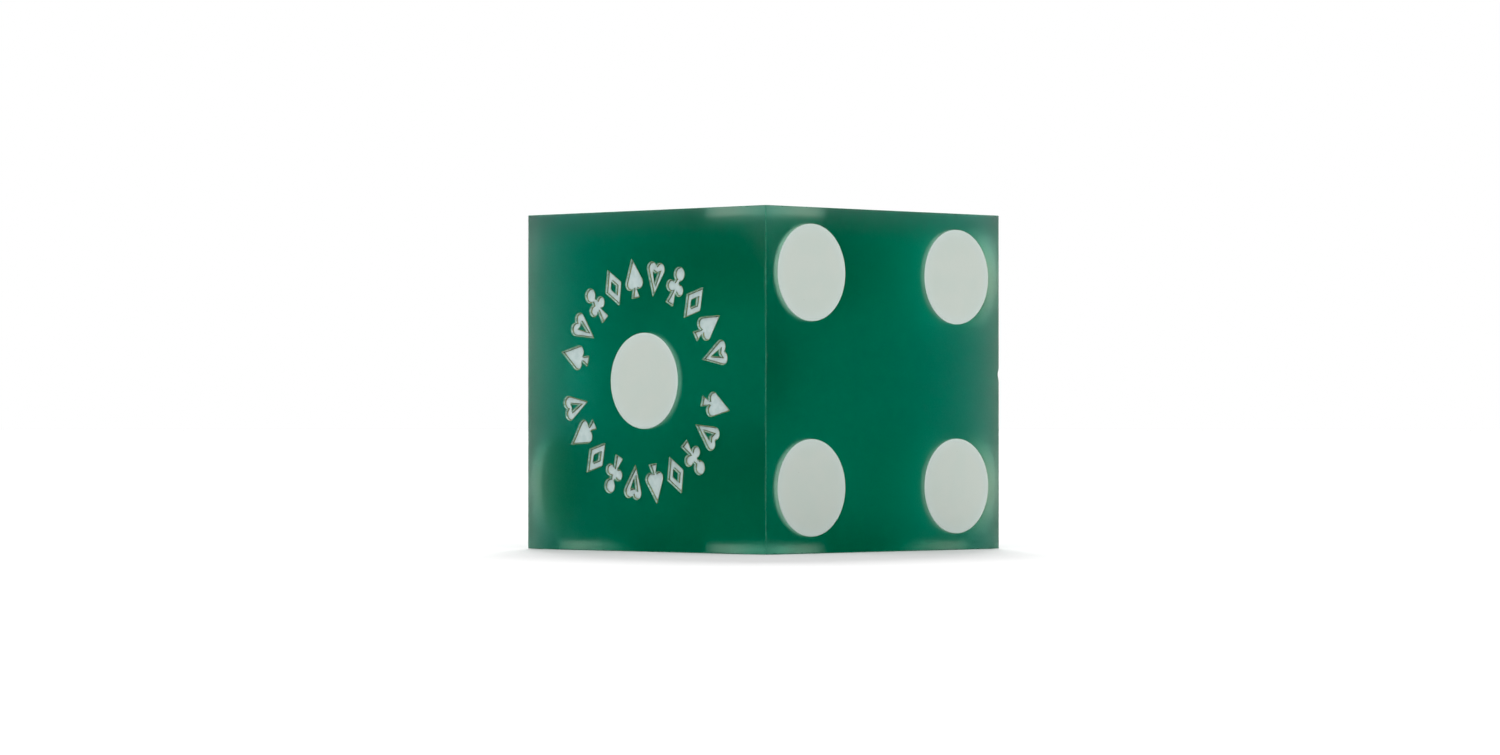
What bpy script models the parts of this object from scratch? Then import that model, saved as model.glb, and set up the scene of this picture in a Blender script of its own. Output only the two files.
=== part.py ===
"""Casino die: a solid cube of translucent acetate with every pip drilled out and filled flush.

The cube stands on its five, centred on X and Y with its base at Z = 0. The one faces -Y, the four
faces +X and the two faces up, which is the right-handed layout that casinos use. Each pip is a disc
in its own flat-bottomed pocket. A ring of card suits is stamped round the single pip, and each suit
is a recess with a thin foil inlay on its floor. Metres throughout.
"""

import math

import bmesh
import bpy
from mathutils import Matrix, Vector

# Driving dimensions
EDGE = 0.01905  # a three-quarter inch die
EDGE_BREAK = 0.00006  # the sharp edges are only just taken off
PIP_DIAMETER = 0.0054
PIP_DEPTH = 0.00048
PIP_INSET = 0.0036  # from a pip's centre to the edges of its face
FIT_GAP = 0.00002  # between a pocket and the piece that fills it
PIP_SEGMENTS = 40

RING_RADIUS = 0.00581  # to the middle of the stamped suits
SUIT_HEIGHT = 0.00222
SUIT_WIDTH = 0.00138
STAMP_DEPTH = 0.0002
FOIL_THICKNESS = 0.00006
SUITS_PER_ARC = 10
ARC_SPAN = math.radians(152)  # from the first suit of an arc to its last
CUTTER_RISE = 0.0003  # how far a cutter stands out of the face

# Each face: its outward direction, and which way is up on it
FACES = {
    "one": (Vector((0, -1, 0)), Vector((0, 0, 1))),
    "two": (Vector((0, 0, 1)), Vector((0, 1, 0))),
    "three": (Vector((-1, 0, 0)), Vector((0, 0, 1))),
    "four": (Vector((1, 0, 0)), Vector((0, 0, 1))),
    "five": (Vector((0, 0, -1)), Vector((0, -1, 0))),
    "six": (Vector((0, 1, 0)), Vector((0, 0, 1))),
}
SPOTS = {
    "upper_left": (-1, 1),
    "upper_middle": (0, 1),
    "upper_right": (1, 1),
    "centre": (0, 0),
    "lower_left": (-1, -1),
    "lower_middle": (0, -1),
    "lower_right": (1, -1),
}
CORNERS = ("upper_left", "upper_right", "lower_left", "lower_right")
LAYOUT = {
    "one": ("centre",),
    "two": ("upper_left", "lower_right"),
    "three": ("upper_left", "centre", "lower_right"),
    "four": CORNERS,
    "five": (*CORNERS, "centre"),
    "six": (*CORNERS, "upper_middle", "lower_middle"),
}
SUIT_ORDER = ("spade", "heart", "club", "diamond")

COLOURS = {  # base colour, roughness and metallic value
    "cube_acetate": ((0.0, 0.115, 0.062, 1.0), 0.45, 0.0),
    "pip_fill": ((0.60, 0.64, 0.60, 1.0), 0.40, 0.0),
    "stamp_foil": ((0.52, 0.60, 0.58, 1.0), 0.35, 0.0),
}


def clear_scene():
    for obj in list(bpy.data.objects):
        bpy.data.objects.remove(obj, do_unlink=True)


def new_collection(name):
    collection = bpy.data.collections.new(name)
    bpy.context.scene.collection.children.link(collection)
    return collection


def make_material(name):
    colour, roughness, metallic = COLOURS[name]
    material = bpy.data.materials.new(name)
    material.use_nodes = True
    shader = material.node_tree.nodes["Principled BSDF"]
    shader.inputs["Base Color"].default_value = colour
    shader.inputs["Roughness"].default_value = roughness
    shader.inputs["Metallic"].default_value = metallic
    material.diffuse_color = colour
    return material


def face_matrix(face):
    """Carries face coordinates (right, up, outwards from the face's centre) into the die's frame."""
    outward, up = FACES[face]
    right = up.cross(outward)
    turn = Matrix((right, up, outward)).transposed().to_4x4()
    middle = Vector((0, 0, EDGE / 2)) + outward * EDGE / 2
    return Matrix.Translation(middle) @ turn


def add_object(name, mesh, collection, matrix):
    obj = bpy.data.objects.new(name, mesh)
    obj.matrix_world = matrix
    collection.objects.link(obj)
    return obj


def hide_cutter(obj):
    obj.hide_render = True
    obj.display_type = "WIRE"


# The cube


def cube_mesh():
    mesh = bpy.data.meshes.new("die_body")
    shape = bmesh.new()
    bmesh.ops.create_cube(shape, size=EDGE)
    shape.to_mesh(mesh)
    shape.free()
    return mesh


# Pips and their pockets


def disc_mesh(name, radius, top, bottom):
    """A round disc between two heights, with its axis on Z."""
    mesh = bpy.data.meshes.new(name)
    shape = bmesh.new()
    bmesh.ops.create_cone(
        shape,
        cap_ends=True,
        segments=PIP_SEGMENTS,
        radius1=radius,
        radius2=radius,
        depth=top - bottom,
        matrix=Matrix.Translation((0, 0, (top + bottom) / 2)),
    )
    shape.to_mesh(mesh)
    shape.free()
    return mesh


def pip_places():
    """The name and matrix of every pip, face by face."""
    reach = EDGE / 2 - PIP_INSET
    for face, spots in LAYOUT.items():
        for spot in spots:
            right, up = SPOTS[spot]
            place = face_matrix(face) @ Matrix.Translation((right * reach, up * reach, 0))
            yield f"pip_{face}_{spot}", place


def add_pips(parts, cutters, material):
    radius = PIP_DIAMETER / 2
    pip = disc_mesh("pip", radius - FIT_GAP, 0, -PIP_DEPTH)
    pip.materials.append(material)
    pip.shade_smooth()
    pip.set_sharp_from_angle(angle=math.radians(40))
    pocket = disc_mesh("pocket", radius, CUTTER_RISE, -PIP_DEPTH - FIT_GAP)
    for name, place in pip_places():
        add_object(name, pip, parts, place)
        hide_cutter(add_object(f"pocket_for_{name}", pocket, cutters, place))


# The stamped suits. A loop is a list of 2D points: anticlockwise outside, clockwise round a hole.


def arc(centre, radius, start, end, steps):
    x, y = centre
    angles = [start + (end - start) * i / steps for i in range(steps + 1)]
    return [Vector((x + radius * math.cos(a), y + radius * math.sin(a))) for a in angles]


def with_mirror(right_half):
    """Closes a shape from its right half, which runs upwards from X = 0 or near it."""
    left_half = [Vector((-p.x, p.y)) for p in reversed(right_half) if p.x > 1e-9]
    return right_half + left_half


def lobed_half(lobe, radius, tip, cleft_x):
    """The right half of a heart that points down: from its tip, round the lobe, to the cleft."""
    to_lobe = lobe - tip
    along = math.atan2(to_lobe.y, to_lobe.x)
    tangent = along - math.asin(radius / to_lobe.length)
    into_cleft = math.acos((cleft_x - lobe.x) / radius)
    return [tip] + arc(lobe, radius, tangent - math.pi / 2, into_cleft, 9)


def flipped(points):
    """Turns a half outline upside down, keeping its direction."""
    return [Vector((p.x, -p.y)) for p in reversed(points)]


def foot_half(stem, waist_y):
    """The right half of a stem: its flared foot, then its waist."""
    bottom = -SUIT_HEIGHT / 2
    return [Vector((stem * 2.2, bottom)), Vector((stem, waist_y))]


def heart_loops():
    lobe = Vector((0.235 * SUIT_WIDTH, 0.22 * SUIT_HEIGHT))
    radius = SUIT_WIDTH / 2 - lobe.x
    tip = Vector((0, -SUIT_HEIGHT * 0.47))
    outside = with_mirror(lobed_half(lobe, radius, tip, 0))
    low, high = -0.17 * SUIT_HEIGHT, 0.16 * SUIT_HEIGHT
    hole = [
        Vector((0, low)),
        Vector((-0.17 * SUIT_WIDTH, high)),
        Vector((0, high * 0.7)),
        Vector((0.17 * SUIT_WIDTH, high)),
    ]
    return [outside, hole]


def spade_loops():
    lobe = Vector((0.245 * SUIT_WIDTH, 0.13 * SUIT_HEIGHT))
    radius = SUIT_WIDTH / 2 - lobe.x
    tip = Vector((0, -SUIT_HEIGHT / 2))
    stem = 0.1 * SUIT_WIDTH
    leaf = flipped(lobed_half(lobe, radius, tip, stem))
    return [with_mirror(foot_half(stem, leaf[0].y - radius * 0.1) + leaf)]


def club_loops():
    radius = 0.235 * SUIT_WIDTH
    top = Vector((0, SUIT_HEIGHT / 2 - radius * 1.25))
    side = Vector((SUIT_WIDTH / 2 - radius, -0.06 * SUIT_HEIGHT))
    stem = 0.1 * SUIT_WIDTH
    neck = 0.11 * SUIT_WIDTH
    side_start = -math.acos((stem - side.x) / radius)
    side_end = math.radians(120)
    top_start = -math.acos(neck / (radius * 1.25))
    leaves = arc(side, radius, side_start, side_end, 10)
    leaves += arc(top, radius * 1.25, top_start, math.pi / 2, 7)
    return [with_mirror(foot_half(stem, leaves[0].y - radius * 0.1) + leaves)]


def diamond_loops():
    half_width, half_height = SUIT_WIDTH / 2, SUIT_HEIGHT / 2
    corners = [(0, -half_height), (half_width, 0), (0, half_height), (-half_width, 0)]
    outside = [Vector(c) for c in corners]
    hole = [Vector(c) * 0.36 for c in reversed(corners)]
    return [outside, hole]


SUIT_LOOPS = {
    "heart": heart_loops,
    "spade": spade_loops,
    "club": club_loops,
    "diamond": diamond_loops,
}


def inset(loop, distance):
    """Moves every side of a closed loop inwards by the same distance."""
    moved = []
    for i, point in enumerate(loop):
        before = (point - loop[i - 1]).normalized()
        after = (loop[(i + 1) % len(loop)] - point).normalized()
        inward = Vector((-before.y - after.y, before.x + after.x)).normalized()
        half_turn = max(inward.dot(Vector((-before.y, before.x))), 0.3)
        moved.append(point + inward * distance / half_turn)
    return moved


def flat_mesh(name, loops, top, bottom):
    """A flat-sided solid between two heights, from an outline and its holes."""
    curve = bpy.data.curves.new(name, "CURVE")
    curve.dimensions = "2D"
    curve.fill_mode = "BOTH"
    curve.extrude = (top - bottom) / 2
    for loop in loops:
        spline = curve.splines.new("POLY")
        spline.points.add(len(loop) - 1)
        spline.use_cyclic_u = True
        for control, point in zip(spline.points, loop):
            control.co = (point.x, point.y, 0, 1)
    outline = bpy.data.objects.new(name, curve)
    bpy.context.scene.collection.objects.link(outline)
    bpy.context.view_layer.update()
    graph = bpy.context.evaluated_depsgraph_get()
    mesh = bpy.data.meshes.new_from_object(outline.evaluated_get(graph))
    bpy.data.objects.remove(outline)
    bpy.data.curves.remove(curve)
    mesh.name = name
    shape = bmesh.new()
    shape.from_mesh(mesh)
    bmesh.ops.remove_doubles(shape, verts=shape.verts, dist=1e-7)
    bmesh.ops.translate(shape, verts=shape.verts, vec=(0, 0, (top + bottom) / 2))
    bmesh.ops.recalc_face_normals(shape, faces=shape.faces)
    shape.to_mesh(mesh)
    shape.free()
    return mesh


def suit_places():
    """The name, suit and matrix of every stamped suit, clockwise from the left of the upper arc."""
    on_face = face_matrix("one")
    for arc_number in range(2):
        for i in range(SUITS_PER_ARC):
            number = arc_number * SUITS_PER_ARC + i + 1
            suit = SUIT_ORDER[i % len(SUIT_ORDER)]
            clockwise = ARC_SPAN * (i / (SUITS_PER_ARC - 1) - 0.5) + math.pi * arc_number
            place = (
                on_face
                @ Matrix.Rotation(-clockwise, 4, "Z")
                @ Matrix.Translation((0, RING_RADIUS, 0))
            )
            yield f"stamp_{number:02d}_{suit}", suit, place


def add_suits(parts, cutters, material):
    foils, recesses = {}, {}
    foil_floor = -STAMP_DEPTH + FIT_GAP
    for suit, make_loops in SUIT_LOOPS.items():
        loops = make_loops()
        foil_loops = [inset(loop, FIT_GAP) for loop in loops]
        foils[suit] = flat_mesh(f"{suit}_foil", foil_loops, foil_floor + FOIL_THICKNESS, foil_floor)
        foils[suit].materials.append(material)
        recesses[suit] = flat_mesh(f"{suit}_recess", loops, CUTTER_RISE, -STAMP_DEPTH)
    for name, suit, place in suit_places():
        add_object(name, foils[suit], parts, place)
        hide_cutter(add_object(f"recess_for_{name}", recesses[suit], cutters, place))


def add_body(parts, cutters, material):
    mesh = cube_mesh()
    mesh.materials.append(material)
    body = add_object("die_body", mesh, parts, Matrix.Translation((0, 0, EDGE / 2)))
    edges = body.modifiers.new("edge_break", "BEVEL")
    edges.width = EDGE_BREAK
    edges.segments = 1
    pockets = body.modifiers.new("pockets", "BOOLEAN")
    pockets.operand_type = "COLLECTION"
    pockets.collection = cutters
    pockets.solver = "EXACT"
    return body


def main():
    clear_scene()
    parts = new_collection("casino_die")
    cutters = new_collection("cutters")
    materials = {name: make_material(name) for name in COLOURS}
    add_pips(parts, cutters, materials["pip_fill"])
    add_suits(parts, cutters, materials["stamp_foil"])
    add_body(parts, cutters, materials["cube_acetate"])


main()
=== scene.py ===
"""The looks of a casino die: frosted translucent green acetate, flush off-white pips and a ring of
stamped card suits, standing on a white floor in soft studio light."""

import math

import bmesh
import bpy
from mathutils import Matrix, Vector, noise


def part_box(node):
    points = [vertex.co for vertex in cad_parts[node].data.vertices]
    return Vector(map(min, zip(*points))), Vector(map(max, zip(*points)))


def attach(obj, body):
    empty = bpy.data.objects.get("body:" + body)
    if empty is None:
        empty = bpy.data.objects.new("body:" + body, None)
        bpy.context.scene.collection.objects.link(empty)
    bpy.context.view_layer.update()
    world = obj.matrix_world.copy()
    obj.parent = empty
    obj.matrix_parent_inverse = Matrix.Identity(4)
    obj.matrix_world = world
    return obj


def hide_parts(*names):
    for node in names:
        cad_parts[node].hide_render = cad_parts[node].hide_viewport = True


MM = 0.001

# Camera: a long lens a little above the floor, looking at the edge between the one and the four
LENS = 117.6
SENSOR_WIDTH = 36
CAMERA_AZIMUTH = math.radians(44.63)
CAMERA_DISTANCE = 280.4 * MM
CAMERA_HEIGHT = 6.92 * MM
CAMERA_ASIDE = -0.776 * MM
CAMERA_TILT = math.radians(0.584)
CAMERA_CLIP = (0.01, 20)

# The cube's edges
EDGE_STEPS = 150
EDGE_WEAR = 0.022 * MM  # how far the broken edge reaches onto each face
LEAST_WEAR = 0.4  # of EDGE_WEAR
EDGE_SINK = 0.29  # how far the middle of a broken edge sinks, of its reach
CORNER_SINK = 0.42
NICK_LEVEL = 0.42  # noise above this makes a nick
NICK_REACH = 0.12 * MM
DENTED_EDGE = ("four", "six")
DENT_REACH = 0.16 * MM
DENT_HEIGHT = 9.95 * MM
DENT_WIDTH = 0.22 * MM
EDGE_SEEDS = (7.13, 3.71)
FACE_SEED = 1.93

# Pips
PIP_SEGMENTS = 96
POCKET_GAP = 0.004 * MM
PIP_DEPTH = 0.48 * MM
PIP_BEVEL = 0.006 * MM
PIP_RINGS = (0.5, 0.7, 0.8, 0.87, 0.93, 0.97, 0.995)  # the flat top's rings, of its radius
PIP_PAINTED_SHEEN_START = 0.7  # where the painted sheen at the rim starts, of the radius

# The stamped suits, as on the frame's nodes
RING_RADIUS = 5.81 * MM
SUIT_HEIGHT = 2.22 * MM
SUIT_WIDTH = 1.38 * MM
SUITS_PER_ARC = 10
ARC_SPAN = math.radians(152)
STAMP_DEPTH = 0.2 * MM
FOIL_TOP = 0.14 * MM
FOIL_BED = 0.01 * MM  # the adhesive under a foil
FOIL_GAP = 0.06 * MM
WALL_DRAFT = 0.035 * MM
GRIME_RIM = 0.02 * MM
THIN_FOIL_DEPTH = 0.1 * MM

# The acetate
ACETATE_IOR = 1.48
ACETATE_ROUGHNESS = 0.48
ROUGHNESS_SPREAD = 0.03
ABSORPTION = (0.42, 0.068, 0.0925)  # per millimetre, for red, green and blue
ABSORPTION_DENSITY = 400.0
ACETATE_TINT = (0.83, 0.93, 0.875, 1)
ACETATE_CLOUD_TINT = (0.81, 0.92, 0.86, 1)
ACETATE_GRAIN_TINT = (0.77, 0.87, 0.81, 1)
FACE_GLOSS = (0.1, 0.4, 0.3, 1)
RUBBED_GLOSS = (0.45, 0.65, 0.55, 1)
RUBBED_WIDTH = 0.45 * MM
# Painted light below the top face: a paler, glossier band in place of light coming in through the
# top face
PAINTED_TOP_LIGHT_GLOSS = (0.55, 0.45, 0.42, 1)
PAINTED_TOP_LIGHT_TINT = (0.60, 0.61, 0.59, 1)
PAINTED_TOP_LIGHT_HEIGHT = 2.15 * MM  # how far the painted light from the top face comes down the side faces
UPPER_CORNER_GLOSS = (0.75, 0.85, 0.85, 1)  # glossier round the upper corners
UPPER_CORNER_WIDTH = 2.4 * MM
UPPER_CORNER_HEIGHT = 4.0 * MM
WORN_COLOUR = (0.012, 0.150, 0.086, 1)
SCUFF_COLOUR = (0.032, 0.19, 0.12, 1)

# What fills the pockets and the stamped recesses
PIP_COLOUR = (0.46, 0.52, 0.475, 1)
PIP_CLOUD_COLOUR = (0.475, 0.525, 0.48, 1)
# Painted sheen: the paler, bluer rim of each pip
PIP_PAINTED_RIM_SHEEN = (0.475, 0.55, 0.52, 1)
PIP_SPECK_COLOUR = (0.30, 0.33, 0.29, 1)
BOND_COLOUR = (0.75, 0.62, 0.50, 1)
BOND_CLOUD_COLOUR = (0.70, 0.59, 0.47, 1)
FOIL_COLOUR = (0.47, 0.56, 0.55, 1)
FOIL_CLOUD_COLOUR = (0.40, 0.50, 0.49, 1)
WALL_COLOUR = (0.40, 0.55, 0.52, 1)
WALL_TORN_COLOUR = (0.16, 0.33, 0.28, 1)
WALL_ROUGHNESS = 0.5
GRIME_COLOUR = (0.14, 0.21, 0.10, 1)
GRIME_GOLD_COLOUR = (0.29, 0.27, 0.09, 1)

# Painted light: each face's pockets glow, standing in for the daylight that soaks through its pips.
# The levels are set so that the pips behind the cube show through it as faintly as they do in the
# photograph.
PAINTED_BOND_GLOWS = {
    "one": (0.10, 0.16, 0.13),
    "two": (0.165, 0.185, 0.155),
    "three": (0.03, 0.04, 0.03),
    "four": (0.10, 0.16, 0.13),
    "five": (0.02, 0.025, 0.02),
    "six": (0.17, 0.14, 0.112),
}
FAR_PAINTED_GLOW = (0.03, 0.11, 0.11)  # and how much more painted glow the pips seen across the whole cube get
FAR_PIPS = (
    "pip_three_upper_left",
    "pip_three_centre",
    "pip_six_upper_middle",
    "pip_six_lower_middle",
    "pip_six_upper_right",
    "pip_six_lower_right",
)

# The light tent: its level at the horizon, then for each ramp the cosines that it runs
# between and what it adds
HORIZON_LEVEL = 0.09
FRONT_RAMP = (-0.2, 1.0, 1.07)
FRONT_RISE = 0.35  # how far upwards the front ramp faces
OVERHEAD_RAMP = (0.1, 0.9, 0.95)
WHITE = (1, 1, 1, 1)
BLACK_LEVEL = 0.014

# A large soft lamp high behind the die, which casts the shadow that falls towards the camera
BACK_LAMP_HEIGHT = math.radians(38)
BACK_LAMP_SIZE = math.radians(26)
BACK_LAMP_STRENGTH = 3.6
FLOOR_COLOUR = (0.60, 0.60, 0.60, 1)
FLOOR_ROUGHNESS = 0.9
FLOOR_REACH = 8
FLOOR_DROP = 0.02 * MM

# Each face: its outward direction, and which way is up on it
FACES = {
    "one": (Vector((0, -1, 0)), Vector((0, 0, 1))),
    "two": (Vector((0, 0, 1)), Vector((0, 1, 0))),
    "three": (Vector((-1, 0, 0)), Vector((0, 0, 1))),
    "four": (Vector((1, 0, 0)), Vector((0, 0, 1))),
    "five": (Vector((0, 0, -1)), Vector((0, -1, 0))),
    "six": (Vector((0, 1, 0)), Vector((0, 0, 1))),
}
CORNERS = [(x, y, z) for x in (-1, 1) for y in (-1, 1) for z in (-1, 1)]

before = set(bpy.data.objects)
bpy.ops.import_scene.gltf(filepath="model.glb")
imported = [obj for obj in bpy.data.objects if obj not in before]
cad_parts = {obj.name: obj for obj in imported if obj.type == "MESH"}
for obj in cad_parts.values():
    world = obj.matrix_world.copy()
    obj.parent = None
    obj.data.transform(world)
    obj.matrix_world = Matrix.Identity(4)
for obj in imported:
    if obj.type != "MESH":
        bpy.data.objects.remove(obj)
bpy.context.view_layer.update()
BODY_LOW, BODY_HIGH = (Vector(corner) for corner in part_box("die_body"))
EDGE = BODY_HIGH.x - BODY_LOW.x
HALF = EDGE / 2
CENTRE = (BODY_LOW + BODY_HIGH) / 2
PIP_LOW, PIP_HIGH = (Vector(corner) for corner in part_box("pip_one_centre"))
PIP_RADIUS = max(PIP_HIGH - PIP_LOW) / 2
POCKET_RADIUS = PIP_RADIUS + POCKET_GAP


def face_matrix(face):
    """Carries face coordinates (right, up, outwards from the face's centre) into the frame."""
    outward, up = FACES[face]
    turn = Matrix((up.cross(outward), up, outward)).transposed().to_4x4()
    return Matrix.Translation(CENTRE + outward * EDGE / 2) @ turn


# Materials


def new_material(name):
    material = bpy.data.materials.new(name)
    material.use_nodes = True
    tree = material.node_tree
    return material, tree, tree.nodes["Principled BSDF"]


def object_place(tree):
    return tree.nodes.new("ShaderNodeTexCoord").outputs["Object"]


def separated(tree, vector):
    node = tree.nodes.new("ShaderNodeSeparateXYZ")
    tree.links.new(vector, node.inputs["Vector"])
    return node.outputs


def attribute(tree, name):
    node = tree.nodes.new("ShaderNodeAttribute")
    node.attribute_name = name
    return node.outputs


def noise_value(tree, feature, detail=2.0):
    """Noise between about 0.3 and 0.7 whose features are of the given size."""
    node = tree.nodes.new("ShaderNodeTexNoise")
    node.inputs["Scale"].default_value = 1 / feature
    node.inputs["Detail"].default_value = detail
    tree.links.new(object_place(tree), node.inputs["Vector"])
    return node.outputs["Fac"]


def remap(tree, value, low, high, to_low=0.0, to_high=1.0):
    """Carries low..high smoothly to to_low..to_high, and clamps what is outside."""
    node = tree.nodes.new("ShaderNodeMapRange")
    node.interpolation_type = "SMOOTHSTEP"
    node.inputs["From Min"].default_value = low
    node.inputs["From Max"].default_value = high
    node.inputs["To Min"].default_value = to_low
    node.inputs["To Max"].default_value = to_high
    tree.links.new(value, node.inputs["Value"])
    return node.outputs["Result"]


def arithmetic(tree, operation, *values):
    node = tree.nodes.new("ShaderNodeMath")
    node.operation = operation
    for socket, value in zip(node.inputs, values):
        if isinstance(value, (int, float)):
            socket.default_value = value
        else:
            tree.links.new(value, socket)
    return node.outputs["Value"]


def mix_colours(tree, factor, colour_a, colour_b):
    node = tree.nodes.new("ShaderNodeMix")
    node.data_type = "RGBA"
    tree.links.new(factor, node.inputs["Factor"])
    for name, colour in (("A", colour_a), ("B", colour_b)):
        socket = next(i for i in node.inputs if i.name == name and i.type == "RGBA")
        if isinstance(colour, tuple):
            socket.default_value = colour
        else:
            tree.links.new(colour, socket)
    return next(o for o in node.outputs if o.type == "RGBA")


def add_bump(tree, shader, height, strength, distance):
    bump = tree.nodes.new("ShaderNodeBump")
    bump.inputs["Strength"].default_value = strength
    bump.inputs["Distance"].default_value = distance
    tree.links.new(height, bump.inputs["Height"])
    tree.links.new(bump.outputs["Normal"], shader.inputs["Normal"])


def offsets_from_centre(tree):
    """How far a point is from the cube's centre along X, Y and Z, without the signs."""
    place = tree.nodes.new("ShaderNodeVectorMath")
    place.operation = "SUBTRACT"
    place.inputs[1].default_value = CENTRE
    tree.links.new(object_place(tree), place.inputs[0])
    size = tree.nodes.new("ShaderNodeVectorMath")
    size.operation = "ABSOLUTE"
    tree.links.new(place.outputs["Vector"], size.inputs[0])
    return separated(tree, size.outputs["Vector"])


def distance_to_upright_edge(tree):
    """How far a point on one of the cube's side faces is from the nearest upright cube edge."""
    x, y, _ = offsets_from_centre(tree)
    return arithmetic(tree, "SUBTRACT", HALF, arithmetic(tree, "MINIMUM", x, y))


def distance_to_edge(tree):
    """How far a point on one of the cube's faces is from the nearest cube edge."""
    x, y, z = offsets_from_centre(tree)
    largest = arithmetic(tree, "MAXIMUM", arithmetic(tree, "MAXIMUM", x, y), z)
    smallest = arithmetic(tree, "MINIMUM", arithmetic(tree, "MINIMUM", x, y), z)
    middle = arithmetic(tree, "ADD", arithmetic(tree, "ADD", x, y), z)
    for other in (largest, smallest):
        middle = arithmetic(tree, "SUBTRACT", middle, other)
    return arithmetic(tree, "SUBTRACT", HALF, middle)


def painted_top_light_and_upper_corners(tree):
    """How strongly a side face carries the painted light below the top face, and how near it is to
    an upper corner.
    """
    height = separated(tree, object_place(tree))["Z"]
    top = BODY_HIGH.z
    on_side = arithmetic(tree, "LESS_THAN", height, top - EDGE_WEAR / 4)
    painted_top_light = remap(tree, height, top - PAINTED_TOP_LIGHT_HEIGHT, top)
    upper = remap(tree, height, top - UPPER_CORNER_HEIGHT, top - UPPER_CORNER_HEIGHT / 4)
    at_corner = remap(tree, distance_to_upright_edge(tree), 0.0, UPPER_CORNER_WIDTH, 1.0, 0.0)
    upper_corner = arithmetic(tree, "MULTIPLY", at_corner, upper)
    return [arithmetic(tree, "MULTIPLY", wear, on_side) for wear in (painted_top_light, upper_corner)]


def acetate_material():
    """Clear green plastic whose faces are sanded to an even frost, and rubbed along the edges.
    Paler and glossier below the top face: painted light.
    """
    material, tree, shader = new_material("frosted_green_acetate")
    shader.inputs["Transmission Weight"].default_value = 1.0
    shader.inputs["IOR"].default_value = ACETATE_IOR
    clouds = remap(tree, noise_value(tree, feature=2.5 * MM), 0.35, 0.65)
    grain = noise_value(tree, feature=0.09 * MM, detail=3.0)
    specks = remap(tree, grain, 0.36, 0.64)
    painted_top_light, upper_corner = painted_top_light_and_upper_corners(tree)
    tint = mix_colours(tree, clouds, ACETATE_TINT, ACETATE_CLOUD_TINT)
    tint = mix_colours(tree, specks, tint, ACETATE_GRAIN_TINT)
    # Painted light: paler below the top face.
    tint = mix_colours(tree, painted_top_light, tint, PAINTED_TOP_LIGHT_TINT)
    tree.links.new(tint, shader.inputs["Base Color"])
    smoothest = ACETATE_ROUGHNESS - ROUGHNESS_SPREAD
    roughest = ACETATE_ROUGHNESS + ROUGHNESS_SPREAD
    frost = remap(tree, grain, 0.3, 0.7, smoothest, roughest)
    tree.links.new(frost, shader.inputs["Roughness"])
    add_bump(tree, shader, grain, strength=0.25, distance=0.004 * MM)

    patches = noise_value(tree, feature=1.6 * MM, detail=3.0)
    patches = remap(tree, patches, 0.35, 0.7, 0.25, 1.0)
    rubbed = remap(tree, distance_to_edge(tree), 0.0, RUBBED_WIDTH, 1.0, 0.0)
    rubbed = arithmetic(tree, "MULTIPLY", rubbed, patches)
    # Painted light: glossier below the top face.
    gloss = mix_colours(tree, painted_top_light, FACE_GLOSS, PAINTED_TOP_LIGHT_GLOSS)
    gloss = mix_colours(tree, upper_corner, gloss, UPPER_CORNER_GLOSS)
    gloss = mix_colours(tree, rubbed, gloss, RUBBED_GLOSS)
    tree.links.new(gloss, shader.inputs["Specular Tint"])

    volume = tree.nodes.new("ShaderNodeVolumeAbsorption")
    volume.inputs["Density"].default_value = ABSORPTION_DENSITY
    colour = [1 - absorbed / MM / ABSORPTION_DENSITY for absorbed in ABSORPTION]
    volume.inputs["Color"].default_value = (*colour, 1)
    tree.links.new(volume.outputs["Volume"], tree.nodes["Material Output"].inputs["Volume"])
    return material


def worn_edge_material():
    """The broken edges: the same plastic, scuffed paler in places."""
    material, tree, shader = new_material("scuffed_acetate_edge")
    scuffs = remap(tree, noise_value(tree, feature=0.8 * MM, detail=4.0), 0.45, 0.68)
    colour = mix_colours(tree, scuffs, WORN_COLOUR, SCUFF_COLOUR)
    tree.links.new(colour, shader.inputs["Base Color"])
    grain = noise_value(tree, feature=0.05 * MM)
    tree.links.new(remap(tree, grain, 0.3, 0.7, 0.5, 0.7), shader.inputs["Roughness"])
    add_bump(tree, shader, grain, strength=0.4, distance=0.006 * MM)
    return material


def pip_material():
    """Opaque white filler, sanded flush: finely speckled, with a painted bluish sheen towards its
    rim.
    """
    material, tree, shader = new_material("sanded_pip_filler")
    clouds = remap(tree, noise_value(tree, feature=1.4 * MM), 0.35, 0.65)
    specks = remap(tree, noise_value(tree, feature=0.14 * MM), 0.73, 0.80, 0.0, 0.6)
    colour = mix_colours(tree, clouds, PIP_COLOUR, PIP_CLOUD_COLOUR)
    # Painted sheen: paler and bluer towards the rim.
    colour = mix_colours(tree, attribute(tree, "rim")["Fac"], colour, PIP_PAINTED_RIM_SHEEN)
    colour = mix_colours(tree, specks, colour, PIP_SPECK_COLOUR)
    tree.links.new(colour, shader.inputs["Base Color"])
    grain = noise_value(tree, feature=0.07 * MM, detail=3.0)
    tree.links.new(remap(tree, grain, 0.3, 0.7, 0.42, 0.6), shader.inputs["Roughness"])
    add_bump(tree, shader, grain, strength=0.35, distance=0.005 * MM)
    return material


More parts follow.
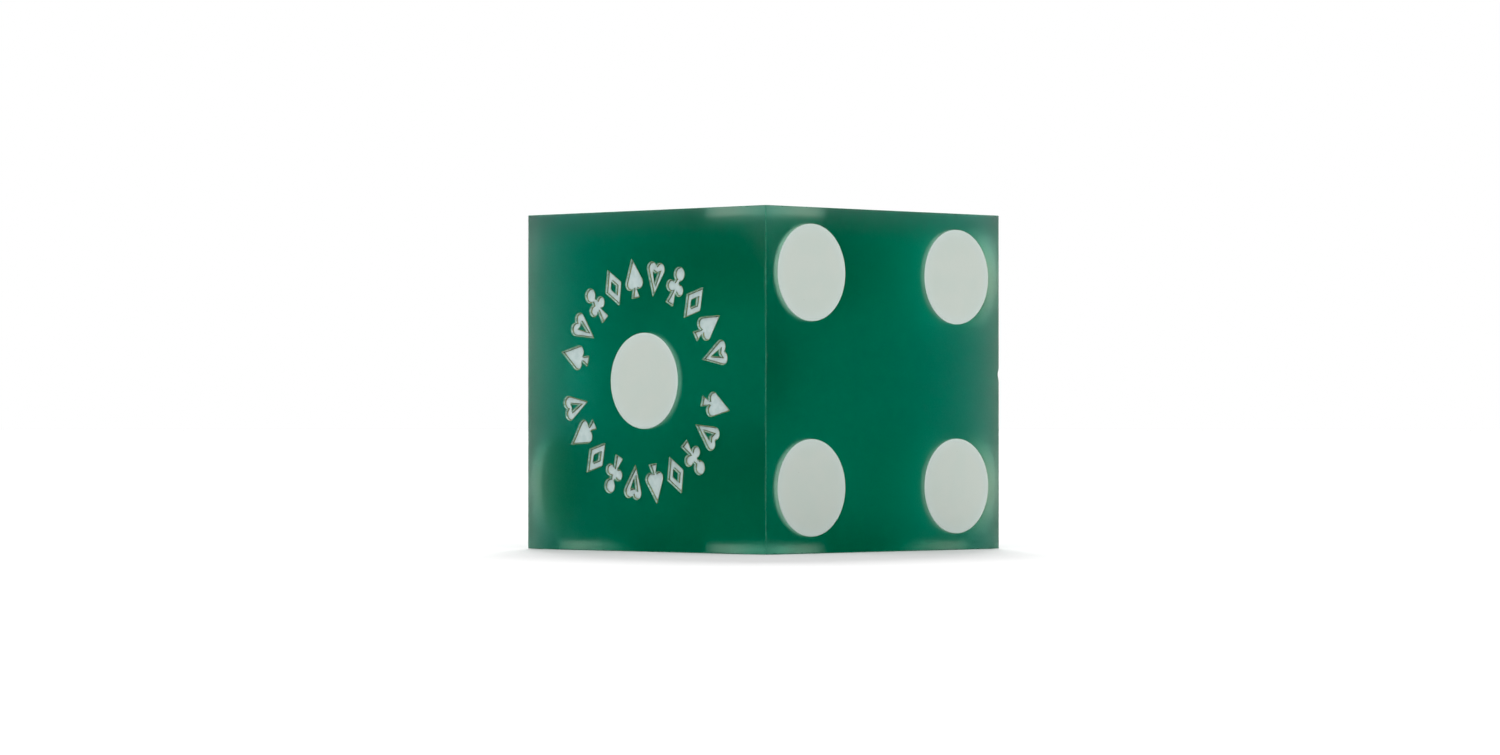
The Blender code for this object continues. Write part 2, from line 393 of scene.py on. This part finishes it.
def bond_material():
    """The creamy filler as it shows through the acetate, bonded to its pocket; its glow is painted
    light.
    """
    material, tree, shader = new_material("filler_behind_the_acetate_with_painted_glow")
    clouds = remap(tree, noise_value(tree, feature=0.6 * MM), 0.35, 0.65)
    colour = mix_colours(tree, clouds, BOND_COLOUR, BOND_CLOUD_COLOUR)
    tree.links.new(colour, shader.inputs["Base Color"])
    grain = noise_value(tree, feature=0.1 * MM)
    tree.links.new(remap(tree, grain, 0.3, 0.7, 0.6, 0.8), shader.inputs["Roughness"])
    # Painted light: each lining's glow level, emitted in place of daylight soaking through the pip.
    tree.links.new(attribute(tree, "glow")["Color"], shader.inputs["Emission Color"])
    shader.inputs["Emission Strength"].default_value = 1.0
    add_bump(tree, shader, grain, strength=0.3, distance=0.005 * MM)
    return material


def foil_material():
    """Pale stamping foil, slightly creased by the die that pressed it in."""
    material, tree, shader = new_material("pale_stamping_foil")
    clouds = remap(tree, noise_value(tree, feature=0.35 * MM, detail=3.0), 0.38, 0.66)
    colour = mix_colours(tree, clouds, FOIL_COLOUR, FOIL_CLOUD_COLOUR)
    tree.links.new(colour, shader.inputs["Base Color"])
    creases = noise_value(tree, feature=0.12 * MM, detail=3.0)
    tree.links.new(remap(tree, creases, 0.3, 0.7, 0.35, 0.55), shader.inputs["Roughness"])
    add_bump(tree, shader, creases, strength=0.5, distance=0.01 * MM)
    return material


def wall_material():
    """The upper walls of a recess, where the foil tore thin over the green."""
    material, tree, shader = new_material("thin_foil_on_the_recess_wall")
    torn = remap(tree, noise_value(tree, feature=0.15 * MM, detail=3.0), 0.4, 0.62)
    colour = mix_colours(tree, torn, WALL_COLOUR, WALL_TORN_COLOUR)
    tree.links.new(colour, shader.inputs["Base Color"])
    shader.inputs["Roughness"].default_value = WALL_ROUGHNESS
    add_bump(tree, shader, torn, strength=0.3, distance=0.006 * MM)
    return material


def grime_material():
    """Olive to gold adhesive and handling dirt, round each recess and on its floor."""
    material, tree, shader = new_material("adhesive_and_grime")
    broken = remap(tree, noise_value(tree, feature=0.22 * MM, detail=3.0), 0.40, 0.62)
    colour = mix_colours(tree, broken, GRIME_COLOUR, GRIME_GOLD_COLOUR)
    tree.links.new(colour, shader.inputs["Base Color"])
    tree.links.new(remap(tree, broken, 0.0, 1.0, 0.45, 0.7), shader.inputs["Roughness"])
    add_bump(tree, shader, broken, strength=0.3, distance=0.006 * MM)
    return material


# The suits' outlines. A loop is a list of 2D points: anticlockwise outside, clockwise round a hole.


def arc(centre, radius, start, end, steps):
    x, y = centre
    angles = [start + (end - start) * i / steps for i in range(steps + 1)]
    return [Vector((x + radius * math.cos(a), y + radius * math.sin(a))) for a in angles]


def with_mirror(right_half):
    """Closes a shape from its right half, which runs upwards from X = 0 or near it."""
    left_half = [Vector((-p.x, p.y)) for p in reversed(right_half) if p.x > 1e-9]
    return right_half + left_half


def lobed_half(lobe, radius, tip, cleft_x):
    """The right half of a heart that points down: from its tip, round the lobe, to the cleft."""
    to_lobe = lobe - tip
    along = math.atan2(to_lobe.y, to_lobe.x)
    tangent = along - math.asin(radius / to_lobe.length)
    into_cleft = math.acos((cleft_x - lobe.x) / radius)
    return [tip] + arc(lobe, radius, tangent - math.pi / 2, into_cleft, 16)


def flipped(points):
    """Turns a half outline upside down, keeping its direction."""
    return [Vector((p.x, -p.y)) for p in reversed(points)]


def foot_half(stem, waist_y):
    """The right half of a stem: its flared foot, then its waist."""
    return [Vector((stem * 2.2, -SUIT_HEIGHT / 2)), Vector((stem, waist_y))]


def heart_loops():
    lobe = Vector((0.235 * SUIT_WIDTH, 0.22 * SUIT_HEIGHT))
    radius = SUIT_WIDTH / 2 - lobe.x
    tip = Vector((0, -SUIT_HEIGHT * 0.47))
    low, high = -0.17 * SUIT_HEIGHT, 0.16 * SUIT_HEIGHT
    hole = [
        Vector((0, low)),
        Vector((-0.17 * SUIT_WIDTH, high)),
        Vector((0, high * 0.7)),
        Vector((0.17 * SUIT_WIDTH, high)),
    ]
    return [with_mirror(lobed_half(lobe, radius, tip, 0)), hole]


def spade_loops():
    lobe = Vector((0.245 * SUIT_WIDTH, 0.13 * SUIT_HEIGHT))
    radius = SUIT_WIDTH / 2 - lobe.x
    tip = Vector((0, -SUIT_HEIGHT / 2))
    stem = 0.1 * SUIT_WIDTH
    leaf = flipped(lobed_half(lobe, radius, tip, stem))
    return [with_mirror(foot_half(stem, leaf[0].y - radius * 0.1) + leaf)]


def club_loops():
    radius = 0.235 * SUIT_WIDTH
    top_radius = radius * 1.25
    top = Vector((0, SUIT_HEIGHT / 2 - top_radius))
    side = Vector((SUIT_WIDTH / 2 - radius, -0.06 * SUIT_HEIGHT))
    stem = 0.1 * SUIT_WIDTH
    neck = 0.11 * SUIT_WIDTH
    side_start = -math.acos((stem - side.x) / radius)
    top_start = -math.acos(neck / top_radius)
    leaves = arc(side, radius, side_start, math.radians(120), 16)
    leaves += arc(top, top_radius, top_start, math.pi / 2, 12)
    return [with_mirror(foot_half(stem, leaves[0].y - radius * 0.1) + leaves)]


def diamond_loops():
    half_width, half_height = SUIT_WIDTH / 2, SUIT_HEIGHT / 2
    corners = [(0, -half_height), (half_width, 0), (0, half_height), (-half_width, 0)]
    return [[Vector(c) for c in corners], [Vector(c) * 0.36 for c in reversed(corners)]]


SUIT_LOOPS = {
    "heart": heart_loops,
    "spade": spade_loops,
    "club": club_loops,
    "diamond": diamond_loops,
}


def inset(loop, distance):
    """Moves every side of a closed loop inwards by the same distance."""
    moved = []
    for i, point in enumerate(loop):
        before = (point - loop[i - 1]).normalized()
        after = (loop[(i + 1) % len(loop)] - point).normalized()
        inward = Vector((-before.y - after.y, before.x + after.x)).normalized()
        half_turn = max(inward.dot(Vector((-before.y, before.x))), 0.3)
        moved.append(point + inward * distance / half_turn)
    return moved


def stamps():
    """The node, suit and matrix of every stamped suit, clockwise from the left of the upper arc."""
    on_face = face_matrix("one")
    for node in sorted(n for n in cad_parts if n.startswith("stamp_")):
        _, number, suit = node.split("_")
        arc_number, i = divmod(int(number) - 1, SUITS_PER_ARC)
        clockwise = ARC_SPAN * (i / (SUITS_PER_ARC - 1) - 0.5) + math.pi * arc_number
        turn = Matrix.Rotation(-clockwise, 4, "Z")
        yield node, suit, on_face @ turn @ Matrix.Translation((0, RING_RADIUS, 0))


def pips():
    """The node, face and matrix of every pip, from its box in the frame."""
    for node in sorted(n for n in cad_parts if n.startswith("pip_")):
        low, high = (Vector(corner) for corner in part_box(node))
        face = node.split("_")[1]
        centre = face_matrix(face).inverted() @ ((low + high) / 2)
        yield node, face, face_matrix(face) @ Matrix.Translation((centre.x, centre.y, 0))


# Meshes


def ring(shape, matrix, points, height):
    return [shape.verts.new(matrix @ Vector((p.x, p.y, height))) for p in points]


def circle(radius, segments):
    angles = [2 * math.pi * i / segments for i in range(segments)]
    return [Vector((radius * math.cos(angle), radius * math.sin(angle))) for angle in angles]


def bridge(shape, upper, lower, slot, smooth=True):
    """Joins two loops of the same length with quads, facing the loops' inside."""
    faces = []
    for i in range(len(upper)):
        j = (i + 1) % len(upper)
        face = shape.faces.new((upper[i], lower[i], lower[j], upper[j]))
        face.material_index = slot
        face.smooth = smooth
        faces.append(face)
    return faces


def loop_edges(shape, loop):
    edges = []
    for i in range(len(loop)):
        pair = (loop[i - 1], loop[i])
        edges.append(shape.edges.get(pair) or shape.edges.new(pair))
    return edges


def fill(shape, loops, normal, slot):
    """Fills the flat region between an outline and its holes."""
    edges = [e for loop in loops for e in loop_edges(shape, loop)]
    filled = bmesh.ops.triangle_fill(shape, use_beauty=True, edges=edges, normal=normal)
    faces = [g for g in filled["geom"] if isinstance(g, bmesh.types.BMFace)]
    for face in faces:
        face.material_index = slot
        face.smooth = False
        if face.normal.dot(normal) < 0:
            face.normal_flip()
    return faces


def finished_mesh(name, shape):
    bmesh.ops.recalc_face_normals(shape, faces=shape.faces)
    mesh = bpy.data.meshes.new(name)
    shape.to_mesh(mesh)
    shape.free()
    return mesh


def link(obj):
    bpy.context.scene.collection.objects.link(obj)
    return obj


# The body: its material slots, its broken edges and corners, and its pockets and recesses

ACETATE, BONDED_PIP, GRIME, STAMP_WALL, WORN_EDGE = range(5)


def edge_key(face_a, face_b):
    """Names the cube edge between two faces, in the order of FACES."""
    return tuple(sorted((face_a, face_b), key=list(FACES).index))


def cube_edges():
    """The two faces that meet at each cube edge, and the direction that it runs in."""
    names = list(FACES)
    for i, face_a in enumerate(names):
        for face_b in names[i + 1 :]:
            outward_a, outward_b = FACES[face_a][0], FACES[face_b][0]
            if abs(outward_a.dot(outward_b)) < 0.5:
                along = Vector([0 if a or b else 1 for a, b in zip(outward_a, outward_b)])
                yield face_a, face_b, along


def faces_at(corner):
    return [name for name in FACES if FACES[name][0].dot(Vector(corner)) > 0]


def edge_seed(key):
    first, second = (list(FACES).index(name) for name in key)
    return EDGE_SEEDS[0] * first + EDGE_SEEDS[1] * second


def edge_reach(key, face, along):
    """How far the worn edge reaches onto a face, at a distance along a cube edge."""
    seed = Vector((edge_seed(key), FACE_SEED * list(FACES).index(face), along / MM))
    wear = 1 + 0.35 * noise.noise(seed * Vector((1, 1, 1.3))) + 0.25 * noise.noise(seed * 5.1)
    reach = EDGE_WEAR * max(wear, LEAST_WEAR)
    spike = noise.noise(Vector((seed.x * 3.1, seed.y * 1.7, seed.z * 2.3)))
    reach += max(spike - NICK_LEVEL, 0) * NICK_REACH
    if key == DENTED_EDGE:
        reach += DENT_REACH * math.exp(-(((along - DENT_HEIGHT) / DENT_WIDTH) ** 2))
    return reach


def add_corner_verts(shape):
    """Where each flat face ends at each corner, and the worn tip of each corner."""
    verts = {}
    for corner in CORNERS:
        at = CENTRE + Vector(corner) * HALF
        for face in faces_at(corner):
            outward = FACES[face][0]
            inward = Vector([0 if outward[k] else -corner[k] for k in range(3)])
            verts[face, corner] = shape.verts.new(at + inward * EDGE_WEAR)
        verts["tip", corner] = shape.verts.new(at - Vector(corner) * EDGE_WEAR * CORNER_SINK)
    return verts


def add_worn_quad(shape, verts, outwards):
    face = shape.faces.new(verts)
    face.smooth = True
    face.material_index = WORN_EDGE
    face.normal_update()
    if face.normal.dot(outwards) < 0:
        face.normal_flip()


def add_worn_edge(shape, corner_verts, face_a, face_b, along):
    """One broken edge. Returns its rows of vertices: one on each face, and one between them."""
    outward_a, outward_b = FACES[face_a][0], FACES[face_b][0]
    outwards = outward_a + outward_b
    start = CENTRE + (outwards - along) * HALF
    rows = {face_a: [], "middle": [], face_b: []}
    for j in range(EDGE_STEPS + 1):
        distance = EDGE_WEAR + (EDGE - 2 * EDGE_WEAR) * j / EDGE_STEPS
        at = start + along * distance
        if j in (0, EDGE_STEPS):
            corner = tuple(round(c) for c in (outwards + along if j else outwards - along))
            reach_a = reach_b = EDGE_WEAR
            rows[face_a].append(corner_verts[face_a, corner])
            rows[face_b].append(corner_verts[face_b, corner])
        else:
            reach_a = edge_reach((face_a, face_b), face_a, distance)
            reach_b = edge_reach((face_a, face_b), face_b, distance)
            rows[face_a].append(shape.verts.new(at - outward_b * reach_a))
            rows[face_b].append(shape.verts.new(at - outward_a * reach_b))
        sink = EDGE_SINK * min(reach_a, reach_b)
        rows["middle"].append(shape.verts.new(at - outwards * sink))
    for j in range(EDGE_STEPS):
        for one, other in ((face_a, "middle"), ("middle", face_b)):
            quad = [rows[one][j], rows[one][j + 1], rows[other][j + 1], rows[other][j]]
            add_worn_quad(shape, quad, outwards)
    return rows


def add_corner_cap(shape, corner, corner_verts, edge_rows):
    """Closes a worn corner with three quads, one beside each face."""
    at = CENTRE + Vector(corner) * HALF
    around = faces_at(corner)
    for face in around:
        mids = []
        for other in around:
            if other != face:
                middle = edge_rows[edge_key(face, other)]["middle"]
                mids.append(min(middle[0], middle[-1], key=lambda vert: (vert.co - at).length))
        quad = [corner_verts[face, corner], mids[0], corner_verts["tip", corner], mids[1]]
        add_worn_quad(shape, quad, Vector(corner))


def face_outline(face, edge_rows):
    """The vertices round a flat face, anticlockwise from its lower left corner."""
    outward, up = FACES[face]
    right = up.cross(outward)
    outline = []
    for side, travel in ((-up, right), (right, up), (up, -right), (-right, -up)):
        other = next(name for name in FACES if FACES[name][0].dot(side) > 0.5)
        row = edge_rows[edge_key(face, other)][face]
        if (row[-1].co - row[0].co).dot(travel) < 0:
            row = row[::-1]
        outline += row[:-1]
    return outline


def add_pocket(shape, matrix, node, face, glow):
    """One round pocket. Returns its mouth."""
    # Painted light: the lining glows at its face's level, and brighter for the far pips.
    through = Vector(PAINTED_BOND_GLOWS[face])
    if node in FAR_PIPS:
        through += Vector(FAR_PAINTED_GLOW)
    mouth = ring(shape, matrix, circle(POCKET_RADIUS, PIP_SEGMENTS), 0)
    floor = ring(shape, matrix, circle(POCKET_RADIUS, PIP_SEGMENTS), -PIP_DEPTH - POCKET_GAP)
    lining = bridge(shape, mouth, floor, BONDED_PIP)
    lining += fill(shape, [floor], FACES[face][0], BONDED_PIP)
    for part in lining:
        part[glow] = through
    return mouth


def add_recess(shape, matrix, suit, normal):
    """One stamped recess. Returns its mouth, and fills the island inside it if it has one."""
    loops = SUIT_LOOPS[suit]()
    rims = [ring(shape, matrix, inset(loop, -GRIME_RIM), 0) for loop in loops]
    mouths = [ring(shape, matrix, loop, 0) for loop in loops]
    middles = [ring(shape, matrix, inset(loop, WALL_DRAFT / 2), -THIN_FOIL_DEPTH) for loop in loops]
    floors = [ring(shape, matrix, inset(loop, WALL_DRAFT), -STAMP_DEPTH) for loop in loops]
    for rim, mouth, middle, floor in zip(rims, mouths, middles, floors):
        bridge(shape, rim, mouth, GRIME, smooth=False)
        bridge(shape, mouth, middle, STAMP_WALL, smooth=False)
        bridge(shape, middle, floor, GRIME, smooth=False)
    fill(shape, floors, normal, GRIME)
    for island in rims[1:]:
        fill(shape, [island], normal, ACETATE)
    return rims[0]


def body_mesh():
    shape = bmesh.new()
    # The painted glow of each pocket's lining.
    glow = shape.faces.layers.float_vector.new("glow")
    corner_verts = add_corner_verts(shape)
    edge_rows = {}
    for face_a, face_b, along in cube_edges():
        edge_rows[face_a, face_b] = add_worn_edge(shape, corner_verts, face_a, face_b, along)
    for corner in CORNERS:
        add_corner_cap(shape, corner, corner_verts, edge_rows)
    loops = {face: [face_outline(face, edge_rows)] for face in FACES}
    for node, face, matrix in pips():
        loops[face].append(add_pocket(shape, matrix, node, face, glow))
    for _, suit, matrix in stamps():
        loops["one"].append(add_recess(shape, matrix, suit, FACES["one"][0]))
    for face in FACES:
        fill(shape, loops[face], FACES[face][0], ACETATE)
    return finished_mesh("frosted_cube", shape)


def add_body(materials):
    mesh = body_mesh()
    for name in ("acetate", "bond", "grime", "wall", "worn_edge"):
        mesh.materials.append(materials[name])
    body = link(bpy.data.objects.new("frosted_cube", mesh))
    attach(body, "root")
    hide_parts("die_body")


# The pips and foils


def add_pips(materials):
    for node, face, matrix in pips():
        shape = bmesh.new()
        painted_sheen_layer = shape.verts.layers.float.new("rim")
        parts = PIP_RINGS + (1.0,)
        heights = [0] * len(PIP_RINGS) + [-PIP_BEVEL]
        rings = []
        for part, height in zip(parts, heights):
            loop = ring(shape, matrix, circle(PIP_RADIUS * part, PIP_SEGMENTS), height)
            for vert in loop:
                # How strongly the painted rim sheen shows at this ring.
                vert[painted_sheen_layer] = max((part - PIP_PAINTED_SHEEN_START) / (1 - PIP_PAINTED_SHEEN_START), 0) ** 2
            rings.append(loop)
        base = ring(shape, matrix, circle(PIP_RADIUS, PIP_SEGMENTS), -PIP_DEPTH)
        for inner, outer in zip(rings, rings[1:] + [base]):
            bridge(shape, inner, outer, 0)
        fill(shape, [rings[0]], FACES[face][0], 0)
        fill(shape, [base], -FACES[face][0], 0)
        mesh = finished_mesh(node.replace("pip_", "filled_pip_"), shape)
        mesh.materials.append(materials["pip"])
        pip = link(bpy.data.objects.new(mesh.name, mesh))
        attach(pip, "root")
        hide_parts(node)


def add_foils(materials):
    for node, suit, matrix in stamps():
        shape = bmesh.new()
        loops = [inset(loop, FOIL_GAP) for loop in SUIT_LOOPS[suit]()]
        tops = [ring(shape, matrix, loop, -FOIL_TOP) for loop in loops]
        bases = [ring(shape, matrix, loop, -STAMP_DEPTH + FOIL_BED) for loop in loops]
        for top, base in zip(tops, bases):
            bridge(shape, top, base, 0, smooth=False)
        fill(shape, tops, FACES["one"][0], 0)
        fill(shape, bases, -FACES["one"][0], 0)
        mesh = finished_mesh(node.replace("stamp_", "foil_"), shape)
        mesh.materials.append(materials["foil"])
        foil = link(bpy.data.objects.new(mesh.name, mesh))
        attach(foil, "root")
        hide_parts(node)


# The studio


def add_camera():
    data = bpy.data.cameras.new("camera")
    data.lens = LENS
    data.sensor_width = SENSOR_WIDTH
    data.clip_start, data.clip_end = CAMERA_CLIP
    camera = link(bpy.data.objects.new("camera", data))
    back = Vector((math.sin(CAMERA_AZIMUTH), -math.cos(CAMERA_AZIMUTH), 0))
    right = Vector((math.cos(CAMERA_AZIMUTH), math.sin(CAMERA_AZIMUTH), 0))
    camera.location = back * CAMERA_DISTANCE + right * CAMERA_ASIDE + Vector((0, 0, CAMERA_HEIGHT))
    camera.rotation_euler = (math.pi / 2 + CAMERA_TILT, 0, CAMERA_AZIMUTH)
    bpy.context.scene.camera = camera


def add_floor():
    mesh = bpy.data.meshes.new("floor")
    shape = bmesh.new()
    bmesh.ops.create_grid(shape, x_segments=2, y_segments=2, size=FLOOR_REACH)
    shape.to_mesh(mesh)
    shape.free()
    floor = link(bpy.data.objects.new("floor", mesh))
    floor.location.z = -FLOOR_DROP
    material, _, shader = new_material("white_floor")
    shader.inputs["Base Color"].default_value = FLOOR_COLOUR
    shader.inputs["Roughness"].default_value = FLOOR_ROUGHNESS
    shader.inputs["Specular IOR Level"].default_value = 0.0
    mesh.materials.append(material)
    return floor


def add_back_lamp(floor):
    """The lamp lights the floor alone, so that it adds no glare to the acetate."""
    lamp = link(bpy.data.objects.new("back_lamp", bpy.data.lights.new("back_lamp", "SUN")))
    lamp.data.angle = BACK_LAMP_SIZE
    lamp.data.energy = BACK_LAMP_STRENGTH
    lamp.rotation_euler = (math.pi / 2 - BACK_LAMP_HEIGHT, 0, CAMERA_AZIMUTH + math.pi)
    lit = bpy.data.collections.new("lit_by_back_lamp")
    lit.objects.link(floor)
    lamp.light_linking.receiver_collection = lit


def light_ramp(tree, towards, low, high, added):
    """What a ramp of the light tent adds, by how directly a ray heads towards its middle."""
    facing = tree.nodes.new("ShaderNodeVectorMath")
    facing.operation = "DOT_PRODUCT"
    facing.inputs[1].default_value = towards
    direction = tree.nodes.new("ShaderNodeTexCoord").outputs["Generated"]
    tree.links.new(direction, facing.inputs[0])
    return remap(tree, facing.outputs["Value"], low, high, 0, added)


def add_lights():
    """A light tent: brightest from the camera's side and overhead, dim behind the die.

    The camera itself sees a plain white backdrop.
    """
    world = bpy.data.worlds.new("studio")
    bpy.context.scene.world = world
    world.use_nodes = True
    tree = world.node_tree
    front = (math.sin(CAMERA_AZIMUTH), -math.cos(CAMERA_AZIMUTH), FRONT_RISE)
    level = light_ramp(tree, front, *FRONT_RAMP)
    level = arithmetic(tree, "ADD", level, light_ramp(tree, (0, 0, 1), *OVERHEAD_RAMP))
    level = arithmetic(tree, "ADD", level, HORIZON_LEVEL)
    lighting = tree.nodes["Background"]
    lighting.inputs["Color"].default_value = WHITE
    tree.links.new(level, lighting.inputs["Strength"])
    backdrop = tree.nodes.new("ShaderNodeBackground")
    backdrop.inputs["Color"].default_value = WHITE
    backdrop.inputs["Strength"].default_value = 1.0
    seen = tree.nodes.new("ShaderNodeMixShader")
    from_camera = tree.nodes.new("ShaderNodeLightPath").outputs["Is Camera Ray"]
    tree.links.new(from_camera, seen.inputs["Fac"])
    tree.links.new(lighting.outputs["Background"], seen.inputs[1])
    tree.links.new(backdrop.outputs["Background"], seen.inputs[2])
    tree.links.new(seen.outputs["Shader"], tree.nodes["World Output"].inputs["Surface"])


def add_view():
    """A plain transform, with the blacks as deep as the photograph's."""
    view = bpy.context.scene.view_settings
    view.view_transform = "Standard"
    view.use_curve_mapping = True
    view.curve_mapping.black_level = (BLACK_LEVEL, BLACK_LEVEL, BLACK_LEVEL)
    view.curve_mapping.update()


materials = {
    "acetate": acetate_material(),
    "pip": pip_material(),
    "bond": bond_material(),
    "foil": foil_material(),
    "wall": wall_material(),
    "grime": grime_material(),
    "worn_edge": worn_edge_material(),
}
add_body(materials)
add_pips(materials)
add_foils(materials)
add_camera()
add_back_lamp(add_floor())
add_lights()
add_view()
